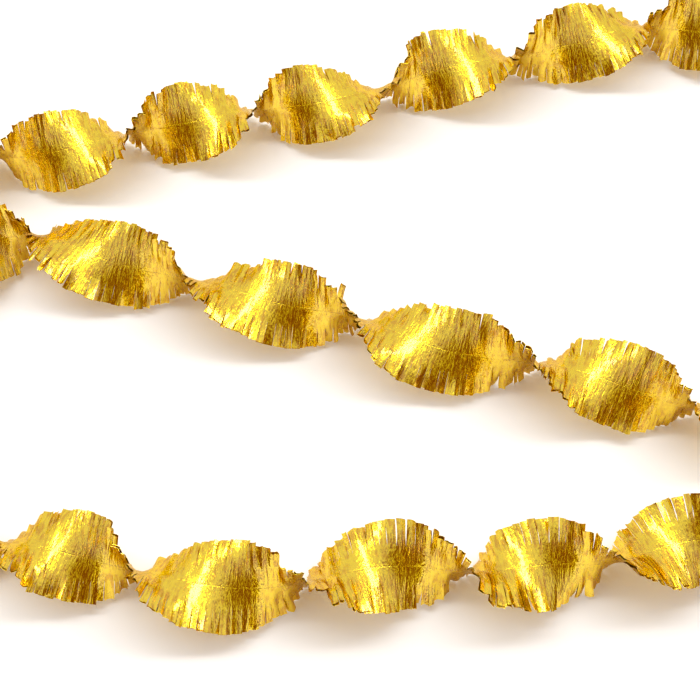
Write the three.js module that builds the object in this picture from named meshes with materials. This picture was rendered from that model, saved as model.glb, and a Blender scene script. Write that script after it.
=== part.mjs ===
// A garland of two crepe paper strips laid face to face, pressed together along the middle,
// cut into a fringe along both edges and twisted half a turn for each leaf.
// It lies on a flat surface in three runs, with a loop at each side where it turns back.
// Millimetres. +X is to the right, +Y is away from the viewer, +Z is up from the surface.

import * as THREE from "three";
import { NURBSCurve } from "three/addons/curves/NURBSCurve.js";

// The paper
const STRIP_WIDTH = 47; // flat width of one strip
const PAPER_THICKNESS = 0.4; // bulk thickness of the crepe, its wrinkles included
const FRINGE_DEPTH = 14; // length of each fringe cut, in from the edge
const TAB_PITCH = 8.4; // distance from one fringe cut to the next
const CUT_WIDTH = 0.8; // least opening of a cut at the edge of the strip
const TAB_FLARE = 1.3; // most that the crepe lets a tab's end widen, as a multiple of its root
const SEAM_GAP = 0.3; // clearance between the two strips over their middle
const TIP_SPREAD = 1.5; // distance that a strip's tab tips stand off from its middle

// The twist
const LEAF_LENGTH = 80; // usual distance from one pinch to the next
const LEAF_LEAN = 30; // degrees that a leaf's face leans from straight up towards the viewer
const TWIST_EASE = 0.2; // how far the twist gathers at the pinches: 0 is even, 1 is none mid-leaf
const TAB_FOLLOW = 0.12; // how far a tab's end follows the twist: 0 as its root, 1 as the strip's edge
const END_FLAT = 0.35; // share of the first and last span that lies flat

// Points that guide the route, seen from above, in order along the garland, in leaf lengths. The third
// number counts half turns: the garland ends at 0 and at the last number, and at each whole number
// between them is a pinch, where the strips stand edge on to the viewer. Midway between two pinches is
// the middle of a leaf.
const GUIDES = [
  [4.26, 2.5, 0],
  [3.96, 2.41, 0.3],
  [3.36, 2.24, 1],
  [2.85, 1.83, 1.5],
  [2.35, 2.03, 2],
  [1.96, 1.83, 2.5],
  [1.35, 1.66, 3],
  [0.91, 1.61, 3.5],
  [0.42, 1.39, 4],
  [-0.13, 1.22, 4.5],
  [-0.5, 1.19, 5],
  [-0.97, 1.08, 5.5],
  [-1.44, 0.97, 6],
  [-1.84, 0.84, 6.5],
  [-2.43, 0.67, 7],
  [-3.21, 1.11, 8],
  [-3.89, 1.18, 8.6],
  [-4.31, 0.54, 9.3],
  [-3.89, -0.1, 10],
  [-3.21, -0.05, 10.6],
  [-2.63, -0.13, 11.1],
  [-2.06, 0.22, 12],
  [-1.54, -0.17, 12.5],
  [-0.88, -0.25, 13],
  [-0.33, -0.5, 13.5],
  [0.21, -0.53, 14],
  [0.73, -0.87, 14.5],
  [1.46, -0.92, 15],
  [1.86, -1.05, 15.5],
  [2.45, -1.34, 16],
  [2.87, -1.25, 16.5],
  [3.25, -1, 17],
  [3.98, -1.14, 17.7],
  [4.3, -1.84, 18.4],
  [3.74, -2.41, 19.1],
  [2.99, -2.3, 20],
  [2.29, -2.12, 20.5],
  [1.85, -2.4, 21],
  [1.37, -2.33, 21.5],
  [0.95, -2.46, 22],
  [0.43, -2.32, 22.5],
  [-0.09, -2.49, 23],
  [-0.56, -2.55, 23.5],
  [-1.17, -2.41, 24],
  [-1.51, -2.32, 24.5],
  [-2.03, -2.17, 25],
  [-2.58, -2.24, 25.7],
  [-2.95, -2.1, 26],
];

const HALF_WIDTH = STRIP_WIDTH / 2;
const ROOT = HALF_WIDTH - FRINGE_DEPTH;
const ROOT_OFFSET = (SEAM_GAP + PAPER_THICKNESS) / 2;
const TIP_OFFSET = ROOT_OFFSET + TIP_SPREAD;
const AXIS_HEIGHT = HALF_WIDTH + PAPER_THICKNESS;
const LAST_TURN = GUIDES.at(-1)[2];

// The twist changes hand at the pinch nearest to the end of the left loop
const LOOP_END = GUIDES.reduce((furthest, guide) => (guide[0] < furthest[0] ? guide : furthest));
const REVERSAL = Math.round(LOOP_END[2]);

// A smooth curve along the guide points, with the half turns as its third coordinate
const DEGREE = 3;
const SPANS = GUIDES.length - DEGREE;
const DIVISIONS_PER_SPAN = 60;
const knots = Array.from({ length: GUIDES.length + DEGREE + 1 }, (_, i) => i - DEGREE);
const route = new NURBSCurve(
  DEGREE,
  knots.map((knot) => THREE.MathUtils.clamp(knot, 0, SPANS)),
  GUIDES.map(([x, y, turns]) => new THREE.Vector4(x * LEAF_LENGTH, y * LEAF_LENGTH, turns, 1)),
);
route.arcLengthDivisions = SPANS * DIVISIONS_PER_SPAN;

// How far the twist has run out near an end of the garland: 0 up to the last pinch, 1 at the end
function runOut(turns) {
  const beyond = Math.max(1 - turns, turns - (LAST_TURN - 1), 0);
  const share = Math.min(beyond / (1 - END_FLAT), 1);
  return 1 - (1 - share) ** 2;
}

// The axes of the twisted strips at a place on the route, given as a share of its length
function frameAt(share) {
  const centre = route.getPointAt(share);
  const turns = centre.z;
  const ended = runOut(turns);

  const inner = THREE.MathUtils.clamp(turns, 1, LAST_TURN - 1);
  const eased = inner + (TWIST_EASE * Math.sin(2 * Math.PI * inner)) / (2 * Math.PI);
  const roll = Math.PI * (0.5 - Math.abs(eased - REVERSAL) - ended / 2);

  const lean = THREE.MathUtils.degToRad(LEAF_LEAN) * (1 - ended);
  const viewer = new THREE.Vector3(0, -Math.sin(lean), Math.cos(lean));
  const along = route.getTangentAt(share).setZ(0).normalize();
  const face = viewer.addScaledVector(along, -viewer.dot(along)).normalize();
  const side = new THREE.Vector3().crossVectors(along, face);

  const across = side.clone().multiplyScalar(Math.cos(roll)).addScaledVector(face, Math.sin(roll));
  const normal = new THREE.Vector3().crossVectors(across, along);

  const lying = HALF_WIDTH * Math.abs(across.z) + TIP_OFFSET * Math.abs(normal.z);
  centre.z = THREE.MathUtils.lerp(AXIS_HEIGHT, lying, ended);
  return { centre, along, across, normal, roll };
}

const length = route.getLength();
const tabCount = Math.round(length / TAB_PITCH);
const pitch = length / tabCount;

const cuts = [];
for (let i = 0; i <= tabCount; i += 1) {
  cuts.push(frameAt(i / tabCount));
}

const tabs = [];
for (let i = 0; i < tabCount; i += 1) {
  const frame = frameAt((i + 0.5) / tabCount);
  frame.twist = (cuts[i + 1].roll - cuts[i].roll) / pitch;
  tabs.push(frame);
}

// A point midway between the strips, at a distance out from the seam
function pointOn(frame, reach) {
  return frame.centre.clone().addScaledVector(frame.across, reach);
}

// The end of a tab on one edge, 1 or -1: its two corners midway between the strips, which fill the room
// that the tabs beside it leave on a bend, and how far each strip stands off there
function tabEnd(i, edge) {
  const frame = tabs[i];
  const tip = pointOn(frame, edge * HALF_WIDTH);
  const follow = THREE.MathUtils.lerp(ROOT, HALF_WIDTH, TAB_FOLLOW);
  const width = frame.along.clone().addScaledVector(frame.normal, edge * follow * frame.twist).normalize();
  const slope = width.dot(frame.along);

  const rooms = [-1, 1].map((way) => {
    const beside = tabs[i + way];
    if (!beside) {
      return pitch;
    }
    const spacing = pointOn(beside, edge * HALF_WIDTH).sub(tip).dot(frame.along) * way;
    return THREE.MathUtils.clamp(spacing / slope, 2 * CUT_WIDTH, TAB_FLARE * pitch);
  });

  const corners = [-1, 1].map((way, k) => {
    const half = (rooms[k] - CUT_WIDTH) / 2;
    return tip.clone().addScaledVector(width, way * half);
  });
  const offset = ROOT_OFFSET + TIP_SPREAD * Math.min(...rooms.map((room) => room / pitch), 1);
  return { corners, normal: frame.normal, offset };
}

const ends = tabs.map((_, i) => [-1, 1].map((edge) => tabEnd(i, edge)));

// One strip as a closed solid: a continuous middle with a row of tabs along each edge.
// It lies on the side of the seam that ply gives, 1 or -1.
function buildStrip(ply) {
  const positions = [];
  const indices = [];

  // Adds a point on both faces of the paper and returns the numbers of its lower and upper vertex
  function addPoint(between, normal, offset) {
    return [-1, 1].map((facing) => {
      const point = between.clone().addScaledVector(normal, ply * offset + (facing * PAPER_THICKNESS) / 2);
      positions.push(point.x, point.y, point.z);
      return positions.length / 3 - 1;
    });
  }

  function addQuad(a, b, c, d) {
    indices.push(a, b, c, a, c, d);
  }

  // Paper between four points that run anticlockwise as seen from its upper face
  function addPaper(a, b, c, d) {
    addQuad(a[1], b[1], c[1], d[1]);
    addQuad(a[0], d[0], c[0], b[0]);
  }

  // Cut edge of the paper from one point to the next, with the paper on its left
  function addCutEdge(a, b) {
    addQuad(a[0], b[0], b[1], a[1]);
  }

  const roots = cuts.map((frame) =>
    [-1, 1].map((edge) => addPoint(pointOn(frame, edge * ROOT), frame.normal, ROOT_OFFSET)),
  );
  const tips = ends.map((pair) =>
    pair.map(({ corners, normal, offset }) => corners.map((corner) => addPoint(corner, normal, offset))),
  );

  for (let i = 0; i < tabCount; i += 1) {
    const [nearStart, farStart] = roots[i];
    const [nearEnd, farEnd] = roots[i + 1];
    addPaper(nearStart, farStart, farEnd, nearEnd);

    const [near, far] = tips[i];
    addPaper(near[0], nearStart, nearEnd, near[1]);
    addCutEdge(nearEnd, near[1]);
    addCutEdge(near[1], near[0]);
    addCutEdge(near[0], nearStart);

    addPaper(farStart, far[0], far[1], farEnd);
    addCutEdge(farStart, far[0]);
    addCutEdge(far[0], far[1]);
    addCutEdge(far[1], farEnd);
  }
  addCutEdge(roots[0][0], roots[0][1]);
  addCutEdge(roots[tabCount][1], roots[tabCount][0]);

  const geometry = new THREE.BufferGeometry();
  geometry.setAttribute("position", new THREE.Float32BufferAttribute(positions, 3));
  geometry.setIndex(indices);
  geometry.computeVertexNormals();
  return geometry;
}

const group = new THREE.Group();
for (const [name, ply] of [["front_strip", 1], ["back_strip", -1]]) {
  const goldCrepe = new THREE.MeshStandardMaterial({ color: 0xd9a21c, roughness: 0.4, metalness: 0.8 });
  const strip = new THREE.Mesh(buildStrip(ply), goldCrepe);
  strip.name = name;
  group.add(strip);
}

// Sets the lowest tab tip on the surface and the middle of the plan at the origin
const reach = new THREE.Box3().setFromObject(group);
const middle = reach.getCenter(new THREE.Vector3());
group.position.set(-middle.x, -middle.y, -reach.min.z);

export default group;
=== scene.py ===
"""A garland of two gold crepe paper strips, pressed together, fringed and twisted."""

import math

import bpy
import numpy as np
from bpy.props import FloatProperty, FloatVectorProperty, IntProperty, PointerProperty
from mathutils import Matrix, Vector


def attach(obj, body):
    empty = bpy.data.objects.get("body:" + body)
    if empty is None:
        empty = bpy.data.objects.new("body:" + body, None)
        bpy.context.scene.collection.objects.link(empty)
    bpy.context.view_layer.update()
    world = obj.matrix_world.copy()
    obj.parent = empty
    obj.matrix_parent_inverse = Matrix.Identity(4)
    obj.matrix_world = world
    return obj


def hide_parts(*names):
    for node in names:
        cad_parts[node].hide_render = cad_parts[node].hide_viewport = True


bl_info = {
    "name": "Twisted Crepe Garland",
    "version": (1, 0, 0),
    "blender": (4, 5, 0),
    "location": "View3D > Sidebar > Garland",
    "description": "Cuts, twists and lays a garland of two fringed gold crepe paper strips",
    "category": "Add Mesh",
}

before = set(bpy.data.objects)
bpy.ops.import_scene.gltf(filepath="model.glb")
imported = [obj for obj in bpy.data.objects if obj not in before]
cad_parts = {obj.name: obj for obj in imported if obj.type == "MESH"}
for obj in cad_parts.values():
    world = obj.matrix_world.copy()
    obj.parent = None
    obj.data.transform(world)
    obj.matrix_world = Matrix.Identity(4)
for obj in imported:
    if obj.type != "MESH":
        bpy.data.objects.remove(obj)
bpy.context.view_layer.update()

# Points that guide the route, seen from above, in leaf lengths. The third number counts half turns:
# at each whole number is a pinch, and midway between two pinches is the middle of a leaf.
GUIDES = (
    (4.26, 2.5, 0),
    (3.96, 2.41, 0.3),
    (3.36, 2.24, 1),
    (2.85, 1.83, 1.5),
    (2.35, 2.03, 2),
    (1.96, 1.83, 2.5),
    (1.35, 1.66, 3),
    (0.91, 1.61, 3.5),
    (0.42, 1.39, 4),
    (-0.13, 1.22, 4.5),
    (-0.5, 1.19, 5),
    (-0.97, 1.08, 5.5),
    (-1.44, 0.97, 6),
    (-1.84, 0.84, 6.5),
    (-2.43, 0.67, 7),
    (-3.21, 1.11, 8),
    (-3.89, 1.18, 8.6),
    (-4.31, 0.54, 9.3),
    (-3.89, -0.1, 10),
    (-3.21, -0.05, 10.6),
    (-2.63, -0.13, 11.1),
    (-2.06, 0.22, 12),
    (-1.54, -0.17, 12.5),
    (-0.88, -0.25, 13),
    (-0.33, -0.5, 13.5),
    (0.21, -0.53, 14),
    (0.73, -0.87, 14.5),
    (1.46, -0.92, 15),
    (1.86, -1.05, 15.5),
    (2.45, -1.34, 16),
    (2.87, -1.25, 16.5),
    (3.25, -1, 17),
    (3.98, -1.14, 17.7),
    (4.3, -1.84, 18.4),
    (3.74, -2.41, 19.1),
    (2.99, -2.3, 20),
    (2.29, -2.12, 20.5),
    (1.85, -2.4, 21),
    (1.37, -2.33, 21.5),
    (0.95, -2.46, 22),
    (0.43, -2.32, 22.5),
    (-0.09, -2.49, 23),
    (-0.56, -2.55, 23.5),
    (-1.17, -2.41, 24),
    (-1.51, -2.32, 24.5),
    (-2.03, -2.17, 25),
    (-2.58, -2.24, 25.7),
    (-2.95, -2.1, 26),
)
DEGREE = 3
LAST_TURN = GUIDES[-1][2]

# The pinch at which the twist changes hand, and the shift that centres the plan as in the solids
REVERSAL = 9
PLAN_SHIFT = (0.000651, 0.000596)

# The two long edges of a strip
EDGES = (-1, 1)

# Rows of the flat strip: across each half of its middle, as shares of that half, and along each tab
MIDDLE_ROWS = (0.08, 0.35, 0.68, 1)
TAB_ROWS = 5

# Columns of the flat strip: how many make a tab, how often, and how unevenly they are spaced
TAB_COLUMNS = (2, 3, 4)
TAB_COLUMN_ODDS = (0.25, 0.45, 0.3)
COLUMN_UNEVENNESS = 0.2

# Neighbouring tabs that share a random value, at most, and the part of it that is each tab's own
MOST_CLUMPED = 4
OWN_SHARE = 0.4

# How the tabs differ, alike in both strips: bends and cups in metres, turns in radians
CLUMP_BEND = 0.0011
TAB_BEND = 0.0009
TAB_TURN = math.radians(13)
TAB_CUP = 0.0005
TAB_CUP_RANGE = 0.0003

# How the tabs differ from one strip to the other
PLY_TRIM = 0.0011
PLY_LEAN = math.radians(1)
PLY_TURN = math.radians(2)
PLY_SPREAD = 0.00015
MOST_SPREAD = 0.005

# How a tab fills the room beside it, and how it leaves the middle
ROOM_LIMITS = (0.35, 1.3)
TAB_OVERLAP = 1.04
SPREAD_CURVE = 1.4
RAMP_SHARE = 0.4

# Folds, puckers and wrinkles: lengths along the strip are in columns
FOLD_COLUMNS = 6
FOLD_LIMIT = 2
PUCKER_COLUMNS = 7
PUCKER_HEIGHT = 0.0004
WRINKLE_SMOOTHINGS = 2
WRINKLE_LIMIT = 1.6
SEAM_WRINKLE = 0.3
SMOOTH_ANGLE = math.radians(50)

# Grains of the crepe in metres, along the strip and across it
FINE_GRAIN = (0.00055, 0.0022)
BROAD_GRAIN = (0.0014, 0.009)
MOTTLE_GRAIN = (0.004, 0.005)
GRAIN_ROUGHNESS = 0.6

# Relief of the crepe: the fine grain's share, the crease along the seam, and each layer's strength
FINE_SHARE = 0.5
CREASE_WIDTH = 0.0007
CREASE_DEPTH = 0.1
RELIEF = 0.0005
METAL_RELIEF = 1
LACQUER_RELIEF = 0.3

# Painted shade, amber in the wrinkle valleys over the random mottling: from which to which distance
# from the seam, in strip widths, it grows how much
VALLEY_SHADE_START, VALLEY_SHADE_END = 0.1, 0.25
WEAK_VALLEY_SHADE, STRONG_VALLEY_SHADE = 0.5, 1.7
AMBER_LEVEL, GOLD_LEVEL = 0.2, 0.55

# Gloss: the levels of the mottling at which the metal is roughest and smoothest, and by how much
DULL_LEVEL, BRIGHT_LEVEL = 0.3, 0.7
DULLER, BRIGHTER = 0.08, 0.06
METAL_SPECULAR = 0.2
LACQUER_IOR = 4

TABLE_SIZE = 40
SENSOR_WIDTH = 36


class PaperSettings(bpy.types.PropertyGroup):
    """Sizes of the two paper strips and their fringe"""

    width: FloatProperty(
        name="Strip width",
        description="Flat width of one strip",
        default=0.047,
        unit="LENGTH",
    )
    thickness: FloatProperty(
        name="Paper thickness",
        description="Thickness of the crepe paper",
        default=0.00016,
        unit="LENGTH",
    )
    fringe: FloatProperty(
        name="Fringe depth",
        description="Length of each fringe cut",
        default=0.014,
        unit="LENGTH",
    )
    column: FloatProperty(
        name="Column",
        description="Width of a column of the flat strip; a tab is two to four of them",
        default=0.00105,
        unit="LENGTH",
    )
    seam: FloatProperty(
        name="Seam gap",
        description="Distance between the middles of the two strips",
        default=0.0005,
        unit="LENGTH",
    )
    spread: FloatProperty(
        name="Tip spread",
        description="Usual distance that a tab's tip stands off from the middle",
        default=0.0001,
        unit="LENGTH",
    )
    end_spread: FloatProperty(
        name="End spread",
        description="Distance that the tabs' tips stand off from the middle at the flat ends",
        default=0.0015,
        unit="LENGTH",
    )
    droop: FloatProperty(
        name="Droop",
        description="Distance that the tip of a lying tab hangs down",
        default=0.003,
        unit="LENGTH",
    )
    fold: FloatProperty(
        name="Fold height",
        description="Usual height of the folds where a leaf is gathered into a pinch",
        default=0.0009,
        unit="LENGTH",
    )
    wrinkle: FloatProperty(
        name="Wrinkle height",
        description="Height of the larger crepe wrinkles",
        default=0.00011,
        unit="LENGTH",
    )
    seed: IntProperty(
        name="Seed",
        description="Start of the random differences between tabs",
        default=7,
    )


class TwistSettings(bpy.types.PropertyGroup):
    """How the strips are twisted and laid"""

    leaf_length: FloatProperty(
        name="Leaf length",
        description="Usual distance from one pinch to the next",
        default=0.08,
        unit="LENGTH",
    )
    axis_height: FloatProperty(
        name="Axis height",
        description="Height of the garland's axis above the table",
        default=0.024148,
        unit="LENGTH",
    )
    lean: FloatProperty(
        name="Leaf lean",
        description="Angle of a leaf's face from straight up towards the viewer",
        default=math.radians(30),
        subtype="ANGLE",
    )
    ease: FloatProperty(
        name="Twist ease",
        description="How far the twist gathers at the pinches",
        default=0.2,
        subtype="FACTOR",
    )
    follow: FloatProperty(
        name="Tab follow",
        description="How far a tab's end follows the twist",
        default=0.12,
        subtype="FACTOR",
    )
    end_flat: FloatProperty(
        name="Flat end",
        description="Share of the first and last span that lies flat",
        default=0.35,
        subtype="FACTOR",
    )
    sway: FloatProperty(
        name="Sway",
        description="Unevenness of the twist from leaf to leaf",
        default=math.radians(4),
        subtype="ANGLE",
    )


class FinishSettings(bpy.types.PropertyGroup):
    """Colour and gloss of the metallic crepe"""

    gold: FloatVectorProperty(
        name="Gold",
        description="Colour of the metallic face",
        default=(0.94, 0.655, 0.01),
        size=3,
        subtype="COLOR",
    )
    # Amber is the darker random mottling and also the painted shade in the wrinkle valleys
    amber: FloatVectorProperty(
        name="Amber",
        description="Colour of the darker mottling",
        default=(0.74, 0.4, 0.003),
        size=3,
        subtype="COLOR",
    )
    edge_tint: FloatVectorProperty(
        name="Edge tint",
        description="Tint of the metal where it is seen nearly edge on",
        default=(0.68, 0.5, 0.1),
        size=3,
        subtype="COLOR",
    )
    roughness: FloatProperty(
        name="Roughness",
        description="Roughness of the metallic face",
        default=0.22,
        subtype="FACTOR",
    )
    metal: FloatProperty(
        name="Metal",
        description="Share of the face that shines as metal",
        default=0.97,
        subtype="FACTOR",
    )
    brushing: FloatProperty(
        name="Brushing",
        description="How far the gloss is drawn out along the wrinkles",
        default=0.4,
        subtype="FACTOR",
    )
    lacquer: FloatProperty(
        name="Lacquer",
        description="Weight of the clear lacquer over the metal",
        default=0.175,
        subtype="FACTOR",
    )
    lacquer_roughness: FloatProperty(
        name="Lacquer roughness",
        description="Roughness of the clear lacquer",
        default=0.06,
        subtype="FACTOR",
    )


class StageSettings(bpy.types.PropertyGroup):
    """Table, light and camera"""

    table: FloatVectorProperty(
        name="Table",
        description="Colour of the table",
        default=(0.92, 0.92, 0.92),
        size=3,
        subtype="COLOR",
    )
    backdrop: FloatProperty(
        name="Backdrop",
        description="Whiteness of the table as it is seen, also in reflections",
        default=1.12,
    )
    lamp: FloatProperty(
        name="Lamp",
        description="Power of the long soft lamp overhead",
        default=98,
        unit="POWER",
    )
    lamp_size: FloatVectorProperty(
        name="Lamp size",
        description="Length and width of the soft lamp",
        default=(7.2, 0.66),
        size=2,
        unit="LENGTH",
    )
    lamp_height: FloatProperty(
        name="Lamp height",
        description="Distance from the soft lamp to the table",
        default=4,
        unit="LENGTH",
    )
    lamp_back: FloatProperty(
        name="Lamp back",
        description="Angle of the soft lamp from straight up, away from the viewer",
        default=math.radians(15),
        subtype="ANGLE",
    )
    tent: FloatVectorProperty(
        name="Tent",
        description="Light of the white tent around the table",
        default=(0.87, 0.87, 0.87),
        size=3,
        subtype="COLOR",
    )
    opening: FloatVectorProperty(
        name="Opening",
        description="Light of the dim room through the front of the tent",
        default=(0.2, 0.062, 0.002),
        size=3,
        subtype="COLOR",
    )
    opening_height: FloatProperty(
        name="Opening height",
        description="Angle of the tent's opening above the table",
        default=math.radians(27),
        subtype="ANGLE",
    )
    opening_size: FloatVectorProperty(
        name="Opening size",
        description="Angles at which the opening's soft edge begins and ends",
        default=(math.radians(26), math.radians(54)),
        size=2,
        subtype="EULER",
        unit="ROTATION",
    )
    lens: FloatProperty(
        name="Lens",
        description="Focal length of the camera",
        default=87.43,
        unit="CAMERA",
    )
    elevation: FloatProperty(
        name="Elevation",
        description="Angle at which the camera looks down",
        default=math.radians(60),
        subtype="ANGLE",
    )
    distance: FloatProperty(
        name="Distance",
        description="Distance from the camera to the garland",
        default=0.90426,
        unit="LENGTH",
    )
    target: FloatVectorProperty(
        name="Target",
        description="Point at the middle of the picture",
        default=(0.0125, -0.0661, 0.025),
        size=3,
        subtype="XYZ",
        unit="LENGTH",
    )


def unit(vectors):
    """The vectors at length one."""
    return vectors / np.linalg.norm(vectors, axis=-1, keepdims=True)


def times(vectors, numbers):
    """Each vector times its own number."""
    return vectors * numbers[:, None]


def spline(guides, places):
    """Points of the clamped cubic curve along the guides, at places counted in spans."""
    points = np.asarray(guides, float)
    spans = len(points) - DEGREE
    knots = np.clip(np.arange(len(points) + DEGREE + 1) - DEGREE, 0, spans).astype(float)
    span = np.clip(np.floor(places).astype(int) + DEGREE, DEGREE, len(points) - 1)
    parts = [points[span - DEGREE + j] for j in range(DEGREE + 1)]
    for level in range(1, DEGREE + 1):
        for j in range(DEGREE, level - 1, -1):
            low = knots[span - DEGREE + j]
            high = knots[span - level + j + 1]
            share = ((places - low) / (high - low))[:, None]
            parts[j] = (1 - share) * parts[j - 1] + share * parts[j]
    return parts[DEGREE]


class Route:
    """The twisted axis of the garland: its place, its axes and its twist at any distance along it."""

    SAMPLES = 8000
    SWAY_WAVES = (0.057, 0.083, 0.131)

    def __init__(self, paper, twist):
        rng = np.random.default_rng(paper.seed)
        points = spline(GUIDES, np.linspace(0, len(GUIDES) - DEGREE, self.SAMPLES))
        plan = points[:, :2] * twist.leaf_length + PLAN_SHIFT
        steps = np.linalg.norm(np.diff(plan, axis=0), axis=1)
        self.at = np.concatenate([[0], np.cumsum(steps)])
        self.length = self.at[-1]
        self.turned = points[:, 2]

        beyond = np.maximum(np.maximum(1 - self.turned, self.turned - (LAST_TURN - 1)), 0)
        ended = 1 - (1 - np.minimum(beyond / (1 - twist.end_flat), 1)) ** 2
        self.ended = ended
        inner = np.clip(self.turned, 1, LAST_TURN - 1)
        eased = inner + twist.ease * np.sin(2 * np.pi * inner) / (2 * np.pi)
        waves = [np.sin(2 * np.pi * (self.at / wave + rng.random())) for wave in self.SWAY_WAVES]
        sway = twist.sway * sum(waves) / len(waves)
        roll = np.pi * (0.5 - np.abs(eased - REVERSAL) - ended / 2) + sway * (1 - ended)

        level = np.zeros((self.SAMPLES, 1))
        along = unit(np.hstack([np.gradient(plan, self.at, axis=0), level]))
        lean = twist.lean * (1 - ended)
        viewer = np.stack([0 * lean, -np.sin(lean), np.cos(lean)], axis=1)
        face = unit(viewer - times(along, np.sum(viewer * along, axis=1)))
        side = np.cross(along, face)
        across = times(side, np.cos(roll)) + times(face, np.sin(roll))
        normal = np.cross(across, along)

        resting = paper.seam / 2 + PUCKER_HEIGHT + paper.end_spread + paper.thickness
        lying = paper.width / 2 * np.abs(across[:, 2]) + resting * np.abs(normal[:, 2])
        height = twist.axis_height + (lying - twist.axis_height) * ended
        self.columns = np.hstack(
            [
                np.hstack([plan, height[:, None]]),
                along,
                across,
                normal,
                np.gradient(along, self.at, axis=0),
                np.gradient(roll, self.at)[:, None],
            ]
        )

    def turns(self, distance):
        """Half turns counted up to each distance."""
        return np.interp(distance, self.at, self.turned)

    def flatness(self, distance):
        """How far the twist has run out at each distance: 1 at the garland's ends."""
        return np.interp(distance, self.at, self.ended)

    def axes(self, distance):
        """Centre, along, across, normal, bend and twist rate at each distance."""
        row = np.stack([np.interp(distance, self.at, column) for column in self.columns.T], axis=-1)
        centre, along, across, normal, bend = (row[..., 3 * i : 3 * i + 3] for i in range(5))
        return centre, unit(along), unit(across), unit(normal), bend, row[..., 15]


def cut_columns(rng, count):
    """True at each column line where a fringe cut runs, leaving tabs of a few columns."""
    cuts = np.zeros(count + 1, bool)
    line = rng.choice(TAB_COLUMNS, p=TAB_COLUMN_ODDS)
    while line < count - 1:
        cuts[line] = True
        line += rng.choice(TAB_COLUMNS, p=TAB_COLUMN_ODDS)
    return cuts


def clumped(rng, count, amount):
    """Random values that neighbouring tabs share, each with a smaller one of its own."""
    values = np.empty(count)
    start = 0
    while start < count:
        size = rng.integers(1, MOST_CLUMPED + 1)
        values[start : start + size] = rng.normal(0, amount)
        start += size
    return values + rng.normal(0, OWN_SHARE * amount, count)


class Tabs:
    """The tabs along one edge: where they lie, and the bends that both strips share."""

    def __init__(self, rng, lines, cuts):
        bounds = np.concatenate([[0], np.flatnonzero(cuts), [len(lines) - 1]])
        starts, ends = lines[bounds[:-1]], lines[bounds[1:]]
        self.count = len(starts)
        self.of_column = np.cumsum(cuts)[:-1]
        self.middles = (starts + ends) / 2
        self.halves = (ends - starts) / 2
        self.bends = clumped(rng, self.count, CLUMP_BEND) + rng.normal(0, TAB_BEND, self.count)
        self.turns = rng.normal(0, TAB_TURN, self.count)
        self.cups = rng.normal(TAB_CUP, TAB_CUP_RANGE, self.count)


class Cutting:
    """The flat strip's columns, rows, folds and fringe cuts, which both strips share."""

    def __init__(self, paper, length):
        rng = np.random.default_rng(paper.seed + 1)
        self.columns = round(length / paper.column)
        uneven = rng.uniform(-COLUMN_UNEVENNESS, COLUMN_UNEVENNESS, self.columns - 1)
        lines = np.arange(self.columns + 1) + np.concatenate([[0], uneven, [0]])
        self.lines = lines * length / self.columns

        self.root = paper.width / 2 - paper.fringe
        middle = self.root * np.array(MIDDLE_ROWS)
        tab = self.root + paper.fringe * np.arange(1, TAB_ROWS + 1) / TAB_ROWS
        half = np.concatenate([middle, tab])
        self.rows = np.concatenate([-half[::-1], half])

        self.cuts = {edge: cut_columns(rng, self.columns) for edge in EDGES}
        folds = np.convolve(rng.normal(0, 1, self.columns + 1), np.hanning(FOLD_COLUMNS), "same")
        self.folds = paper.fold * np.clip(folds / folds.std(), -FOLD_LIMIT, FOLD_LIMIT)
        self.tabs = {edge: Tabs(rng, self.lines, self.cuts[edge]) for edge in EDGES}


def add_flat_strip(name, cutting):
    """A flat grid with the strip's columns and rows, slit along the fringe cuts."""
    bpy.ops.object.select_all(action="DESELECT")
    bpy.ops.mesh.primitive_grid_add(
        x_subdivisions=cutting.columns,
        y_subdivisions=len(cutting.rows) - 1,
        size=1,
        calc_uvs=True,
        location=(0, 0, 0),
    )
    strip = bpy.context.object
    strip.name = name
    strip.data.name = name
    mesh = strip.data

    columns, rows = grid_places(mesh, cutting)
    ends = np.empty(2 * len(mesh.edges), int)
    mesh.edges.foreach_get("vertices", ends)
    first, second = ends.reshape(-1, 2).T
    upright = columns[first] == columns[second]
    slit = np.zeros(len(mesh.edges), bool)
    for edge in EDGES:
        out = edge * cutting.rows >= cutting.root - 1e-9
        slit |= upright & out[rows[first]] & out[rows[second]] & cutting.cuts[edge][columns[first]]

    bpy.context.tool_settings.mesh_select_mode = (False, True, False)
    mesh.vertices.foreach_set("select", np.zeros(len(mesh.vertices), bool))
    mesh.polygons.foreach_set("select", np.zeros(len(mesh.polygons), bool))
    mesh.edges.foreach_set("select", slit)
    bpy.ops.object.mode_set(mode="EDIT")
    bpy.ops.mesh.edge_split(type="EDGE")
    bpy.ops.object.mode_set(mode="OBJECT")
    return strip


def grid_places(mesh, cutting):
    """Number of the column line and of the row of each vertex of the flat grid."""
    places = np.empty(3 * len(mesh.vertices))
    mesh.vertices.foreach_get("co", places)
    places = places.reshape(-1, 3) + 0.5
    columns = np.rint(places[:, 0] * cutting.columns).astype(int)
    rows = np.rint(places[:, 1] * (len(cutting.rows) - 1)).astype(int)
    return columns, rows


def face_columns(mesh, columns):
    """For each vertex, the column of one of the faces around it."""
    sizes = np.empty(len(mesh.polygons), int)
    mesh.polygons.foreach_get("loop_total", sizes)
    corners = np.empty(len(mesh.loops), int)
    mesh.loops.foreach_get("vertex_index", corners)
    starts = np.concatenate([[0], np.cumsum(sizes)[:-1]])
    of_face = np.minimum.reduceat(columns[corners], starts)
    found = np.empty(len(mesh.vertices), int)
    found[corners] = np.repeat(of_face, sizes)
    return found


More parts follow.
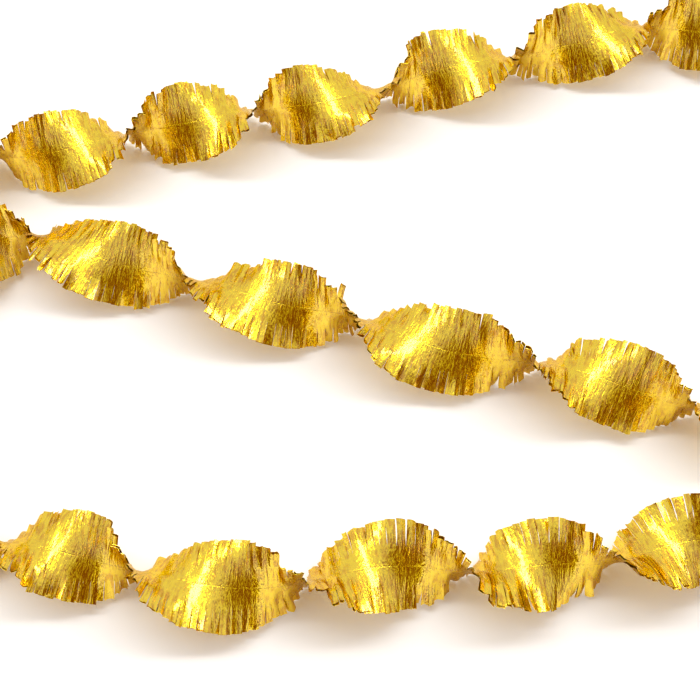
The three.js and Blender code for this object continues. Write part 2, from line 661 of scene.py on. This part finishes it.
def crepe_lift(rng, cutting, paper, columns, rows, loose):
    """How far each vertex stands off from the seam, by the puckers and wrinkles of its own strip."""
    wrinkles = rng.normal(0, 1, (len(cutting.rows), cutting.columns + 1))
    for _ in range(WRINKLE_SMOOTHINGS):
        wrinkles[1:-1] = (wrinkles[:-2] + 2 * wrinkles[1:-1] + wrinkles[2:]) / 4
    wrinkles = np.clip(wrinkles, -WRINKLE_LIMIT, WRINKLE_LIMIT)
    puckers = np.convolve(rng.normal(0, 1, cutting.columns + 1), np.hanning(PUCKER_COLUMNS), "same")
    puckers = np.abs(puckers) / np.abs(puckers).max()
    raised = PUCKER_HEIGHT * loose * puckers[columns]
    free = SEAM_WRINKLE + (1 - SEAM_WRINKLE) * loose
    return paper.seam / 2 + raised + paper.wrinkle * wrinkles[rows, columns] * free


def twist_strip(strip, ply, cutting, route, paper, twist):
    """Moves the flat strip's vertices to their places in the twisted and laid garland."""
    mesh = strip.data
    rng = np.random.default_rng(paper.seed + 10 + ply)
    columns, rows = grid_places(mesh, cutting)
    of_face = face_columns(mesh, columns)
    distance = cutting.lines[columns]
    reach = cutting.rows[rows]

    # The strip without its cuts, pressed at the seam and loose from the tabs' roots on
    loose = np.minimum(np.abs(reach) / cutting.root, 1)
    lift = crepe_lift(rng, cutting, paper, columns, rows, loose)
    folds = cutting.folds[columns] * (1 - np.sin(np.pi * route.turns(distance)) ** 2)
    lift = lift + ply * folds * loose
    centre, _, across, normal, _, _ = route.axes(distance)
    places = centre + times(across, reach) + ply * times(normal, lift)

    for edge in EDGES:
        tabs = cutting.tabs[edge]
        trim = rng.uniform(0, PLY_TRIM, tabs.count)
        lean = clumped(rng, tabs.count, PLY_LEAN)
        turn = tabs.turns + clumped(rng, tabs.count, PLY_TURN)
        spread = np.clip(paper.spread + clumped(rng, tabs.count, PLY_SPREAD), 0, MOST_SPREAD)

        # At the flat ends the tabs lie still and only stand off
        flat = route.flatness(tabs.middles)
        spread = spread + paper.end_spread * flat
        turn = turn * (1 - flat)
        bend = tabs.bends * (1 - flat)
        cup = tabs.cups * (1 - flat)
        droop = paper.droop * (1 - flat)

        # From here on, one value for each vertex on this side of the seam
        mine = np.where(reach < 0, -1, 1) == edge
        tab = tabs.of_column[of_face[mine]]
        tab_at = tabs.middles[tab]
        share = np.maximum(np.abs(reach[mine]) - cutting.root, 0) / paper.fringe
        beyond = share * (paper.fringe - trim[tab])
        radius = cutting.root + beyond
        followed = cutting.root + beyond * twist.follow
        here, forward, outward, facing, curve, rate = route.axes(tab_at)
        outward = outward * edge

        # The tab's width follows the twist a little, and turns about the tab's length
        broad = unit(forward + times(facing, edge * rate * followed))
        up = np.cross(edge * outward, broad)
        turned = turn[tab] * share
        broad_turned = times(broad, np.cos(turned)) + times(up, np.sin(turned))
        room = np.clip(1 - radius * np.sum(outward * curve, axis=1), *ROOM_LIMITS)
        room = TAB_OVERLAP * room * np.sqrt(1 + (rate * followed) ** 2)
        sideways = distance[mine] - tab_at
        beside = sideways * (1 + (room - 1) * share)

        # The tab stands off, bends and cups, and hangs down where it lies
        gutter = cup[tab] * share * (0.5 - (sideways / tabs.halves[tab]) ** 2)
        bent = bend[tab] * share * share + gutter
        stand = lift[mine] + spread[tab] * share**SPREAD_CURVE + ply * bent
        hung = droop[tab] * facing[:, 2] * np.clip(0.5 + outward[:, 2], 0, 1)
        laid = (
            here
            + times(outward, radius)
            + times(broad_turned, beside)
            + times(broad, np.tan(lean[tab]) * beyond)
            + ply * times(up, stand)
            - times(facing, hung * share * share)
        )
        ramp = np.clip(share / RAMP_SHARE, 0, 1)
        ramp = ramp * ramp * (3 - 2 * ramp)
        places[mine] += times(laid - places[mine], ramp)

    places[:, 2] = np.maximum(places[:, 2], paper.thickness)
    mesh.vertices.foreach_set("co", places.astype(np.float32).ravel())
    mesh.update()


def thicken(strip, thickness):
    """Gives the paper its thickness and smooth faces."""
    bpy.ops.object.select_all(action="DESELECT")
    strip.select_set(True)
    bpy.context.view_layer.objects.active = strip
    solid = strip.modifiers.new("Paper thickness", "SOLIDIFY")
    solid.thickness = thickness
    solid.offset = 0
    bpy.ops.object.modifier_apply(modifier=solid.name)
    bpy.ops.object.shade_smooth_by_angle(angle=SMOOTH_ANGLE)


def noise_over(tree, coordinates, size, grain, detail):
    """A flat noise whose grains are that long along the strip and across it."""
    mapping = tree.nodes.new("ShaderNodeMapping")
    mapping.inputs["Scale"].default_value = (size[0] / grain[0], size[1] / grain[1], 1)
    noise = tree.nodes.new("ShaderNodeTexNoise")
    noise.noise_dimensions = "2D"
    noise.inputs["Scale"].default_value = 1
    noise.inputs["Detail"].default_value = detail
    noise.inputs["Roughness"].default_value = GRAIN_ROUGHNESS
    tree.links.new(coordinates, mapping.inputs["Vector"])
    tree.links.new(mapping.outputs["Vector"], noise.inputs["Vector"])
    return noise.outputs["Fac"]


def reckon(tree, operation, *values):
    """Result of a math node over sockets and plain numbers."""
    node = tree.nodes.new("ShaderNodeMath")
    node.operation = operation
    for value, socket in zip(values, node.inputs):
        if isinstance(value, bpy.types.NodeSocket):
            tree.links.new(value, socket)
        else:
            socket.default_value = value
    return node.outputs["Value"]


def ranged(tree, value, given, wanted, interpolation="LINEAR"):
    """A value brought from one range of numbers to another."""
    node = tree.nodes.new("ShaderNodeMapRange")
    node.interpolation_type = interpolation
    node.inputs["From Min"].default_value, node.inputs["From Max"].default_value = given
    node.inputs["To Min"].default_value, node.inputs["To Max"].default_value = wanted
    tree.links.new(value, node.inputs["Value"])
    return node.outputs["Result"]


def mixed(tree, factor, first, second):
    """A colour between two colours."""
    node = tree.nodes.new("ShaderNodeMix")
    node.data_type = "RGBA"
    node.inputs["A"].default_value = (*first, 1)
    node.inputs["B"].default_value = (*second, 1)
    tree.links.new(factor, node.inputs["Factor"])
    return node.outputs["Result"]


def gold_crepe(finish, size):
    """Metallic crepe: fine wrinkles across the strip, mottled colour with painted shade in the
    wrinkle valleys, and an uneven gloss.
    """
    material = bpy.data.materials.new("gold_crepe")
    material.use_nodes = True
    tree = material.node_tree
    nodes, links = tree.nodes, tree.links
    shader = nodes["Principled BSDF"]
    shader.inputs["Metallic"].default_value = finish.metal
    shader.inputs["Specular IOR Level"].default_value = METAL_SPECULAR
    shader.inputs["Specular Tint"].default_value = (*finish.edge_tint, 1)
    shader.inputs["Anisotropic"].default_value = finish.brushing
    shader.inputs["Coat Weight"].default_value = finish.lacquer
    shader.inputs["Coat Roughness"].default_value = finish.lacquer_roughness
    shader.inputs["Coat IOR"].default_value = LACQUER_IOR
    tangent = nodes.new("ShaderNodeTangent")
    tangent.direction_type = "UV_MAP"
    links.new(tangent.outputs["Tangent"], shader.inputs["Tangent"])

    coordinates = nodes.new("ShaderNodeTexCoord").outputs["UV"]
    fine = noise_over(tree, coordinates, size, FINE_GRAIN, 1)
    broad = noise_over(tree, coordinates, size, BROAD_GRAIN, 1)
    mottle = noise_over(tree, coordinates, size, MOTTLE_GRAIN, 4)
    place = nodes.new("ShaderNodeSeparateXYZ")
    links.new(coordinates, place.inputs["Vector"])
    from_seam = reckon(tree, "ABSOLUTE", reckon(tree, "SUBTRACT", place.outputs["Y"], 0.5))

    # Wrinkles and the crease along the seam, weaker in the lacquer than in the metal
    wrinkles = reckon(tree, "MULTIPLY_ADD", fine, FINE_SHARE, broad)
    width = CREASE_WIDTH / size[1]
    crease = ranged(tree, from_seam, (0, width), (-CREASE_DEPTH, 0), "SMOOTHSTEP")
    height = reckon(tree, "ADD", wrinkles, crease)
    for strength, socket in ((METAL_RELIEF, "Normal"), (LACQUER_RELIEF, "Coat Normal")):
        bump = nodes.new("ShaderNodeBump")
        bump.inputs["Strength"].default_value = strength
        bump.inputs["Distance"].default_value = RELIEF
        links.new(height, bump.inputs["Height"])
        links.new(bump.outputs["Normal"], shader.inputs[socket])

    # Painted shade: amber in the valleys of the wrinkles, over the random mottling, more of it on the
    # tabs than on the middle
    ridges = reckon(tree, "SUBTRACT", broad, 0.5)
    growth = (WEAK_VALLEY_SHADE, STRONG_VALLEY_SHADE)
    valley_shade_weight = ranged(tree, from_seam, (VALLEY_SHADE_START, VALLEY_SHADE_END), growth)
    mottle_and_valley_shade = reckon(tree, "MULTIPLY_ADD", ridges, valley_shade_weight, mottle)
    shade = ranged(tree, mottle_and_valley_shade, (AMBER_LEVEL, GOLD_LEVEL), (0, 1))
    links.new(mixed(tree, shade, finish.amber, finish.gold), shader.inputs["Base Color"])

    roughness = (finish.roughness + DULLER, finish.roughness - BRIGHTER)
    gloss = ranged(tree, mottle, (DULL_LEVEL, BRIGHT_LEVEL), roughness)
    links.new(gloss, shader.inputs["Roughness"])
    return material


class GARLAND_OT_make_strips(bpy.types.Operator):
    """Cut, twist and lay the two crepe paper strips"""

    bl_idname = "garland.make_strips"
    bl_label = "Make Crepe Strips"

    def execute(self, context):
        paper = context.scene.garland_paper
        twist = context.scene.garland_twist
        route = Route(paper, twist)
        cutting = Cutting(paper, route.length)
        crepe = gold_crepe(context.scene.garland_finish, (route.length, paper.width))
        for name, node, ply in (
            ("front_crepe_strip", "front_strip", 1),
            ("back_crepe_strip", "back_strip", -1),
        ):
            strip = add_flat_strip(name, cutting)
            twist_strip(strip, ply, cutting, route, paper, twist)
            thicken(strip, paper.thickness)
            strip.data.materials.append(crepe)
            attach(strip, "root")
            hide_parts(node)
        return {"FINISHED"}


class GARLAND_OT_make_stage(bpy.types.Operator):
    """Set the table, the soft light and the camera"""

    bl_idname = "garland.make_stage"
    bl_label = "Make Stage"

    def execute(self, context):
        stage = context.scene.garland_stage
        self.add_table(stage)
        self.add_light(stage)
        self.add_room(context.scene, stage)
        self.add_camera(context.scene, stage)
        context.scene.view_settings.view_transform = "Standard"
        return {"FINISHED"}

    def add_table(self, stage):
        bpy.ops.object.select_all(action="DESELECT")
        bpy.ops.mesh.primitive_plane_add(size=TABLE_SIZE, location=(0, 0, 0))
        table = bpy.context.object
        table.name = "table"
        material = bpy.data.materials.new("table_white")
        material.use_nodes = True
        tree = material.node_tree
        tree.nodes.remove(tree.nodes["Principled BSDF"])
        matt = tree.nodes.new("ShaderNodeBsdfDiffuse")
        ray = tree.nodes.new("ShaderNodeLightPath").outputs
        seen = reckon(tree, "MAXIMUM", ray["Is Camera Ray"], ray["Is Glossy Ray"])
        seen = reckon(tree, "MAXIMUM", seen, ray["Is Transmission Ray"])
        colour = mixed(tree, seen, stage.table, [stage.backdrop] * 3)
        tree.links.new(colour, matt.inputs["Color"])
        tree.links.new(matt.outputs["BSDF"], tree.nodes["Material Output"].inputs["Surface"])
        table.data.materials.append(material)

    def add_light(self, stage):
        source = Vector((0, math.sin(stage.lamp_back), math.cos(stage.lamp_back)))
        bpy.ops.object.light_add(type="AREA", location=source * stage.lamp_height)
        lamp = bpy.context.object
        lamp.name = "soft_lamp"
        lamp.data.shape = "RECTANGLE"
        lamp.data.size, lamp.data.size_y = stage.lamp_size
        lamp.data.energy = stage.lamp
        lamp.rotation_euler = (-stage.lamp_back, 0, 0)

    def add_room(self, scene, stage):
        room = bpy.data.worlds.new("room")
        room.use_nodes = True
        tree = room.node_tree
        forward, upward = -math.cos(stage.opening_height), math.sin(stage.opening_height)
        towards = tree.nodes.new("ShaderNodeVectorMath")
        towards.operation = "DOT_PRODUCT"
        towards.inputs[1].default_value = (0, forward, upward)
        direction = tree.nodes.new("ShaderNodeTexCoord").outputs["Generated"]
        tree.links.new(direction, towards.inputs[0])
        inner, outer = (math.cos(angle) for angle in stage.opening_size)
        edge = ranged(tree, towards.outputs["Value"], (outer, inner), (0, 1), "SMOOTHSTEP")
        light = mixed(tree, edge, stage.tent, stage.opening)
        tree.links.new(light, tree.nodes["Background"].inputs["Color"])
        scene.world = room

    def add_camera(self, scene, stage):
        back = Vector((0, -math.cos(stage.elevation), math.sin(stage.elevation)))
        bpy.ops.object.camera_add(location=Vector(stage.target) + back * stage.distance)
        camera = bpy.context.object
        camera.name = "camera"
        camera.rotation_euler = (-back).to_track_quat("-Z", "Y").to_euler()
        camera.data.lens = stage.lens
        camera.data.sensor_width = SENSOR_WIDTH
        scene.camera = camera


class GARLAND_PT_panel(bpy.types.Panel):
    """Sizes, colours and making of the garland"""

    bl_idname = "GARLAND_PT_panel"
    bl_label = "Crepe Garland"
    bl_space_type = "VIEW_3D"
    bl_region_type = "UI"
    bl_category = "Garland"

    def draw(self, context):
        layout = self.layout
        for label, settings in (
            ("Paper", context.scene.garland_paper),
            ("Twist", context.scene.garland_twist),
            ("Finish", context.scene.garland_finish),
            ("Stage", context.scene.garland_stage),
        ):
            box = layout.box()
            box.label(text=label)
            for prop in settings.bl_rna.properties:
                if prop.identifier not in ("rna_type", "name"):
                    box.prop(settings, prop.identifier)
        layout.operator(GARLAND_OT_make_strips.bl_idname)
        layout.operator(GARLAND_OT_make_stage.bl_idname)


SETTINGS = (
    ("garland_paper", PaperSettings),
    ("garland_twist", TwistSettings),
    ("garland_finish", FinishSettings),
    ("garland_stage", StageSettings),
)
CLASSES = (
    *(group for _, group in SETTINGS),
    GARLAND_OT_make_strips,
    GARLAND_OT_make_stage,
    GARLAND_PT_panel,
)


def register():
    for item in CLASSES:
        bpy.utils.register_class(item)
    for name, group in SETTINGS:
        setattr(bpy.types.Scene, name, PointerProperty(type=group))


def unregister():
    for name, _ in SETTINGS:
        delattr(bpy.types.Scene, name)
    for item in reversed(CLASSES):
        bpy.utils.unregister_class(item)


def main():
    register()
    bpy.ops.garland.make_stage()
    bpy.ops.garland.make_strips()


if __name__ == "__main__":
    main()
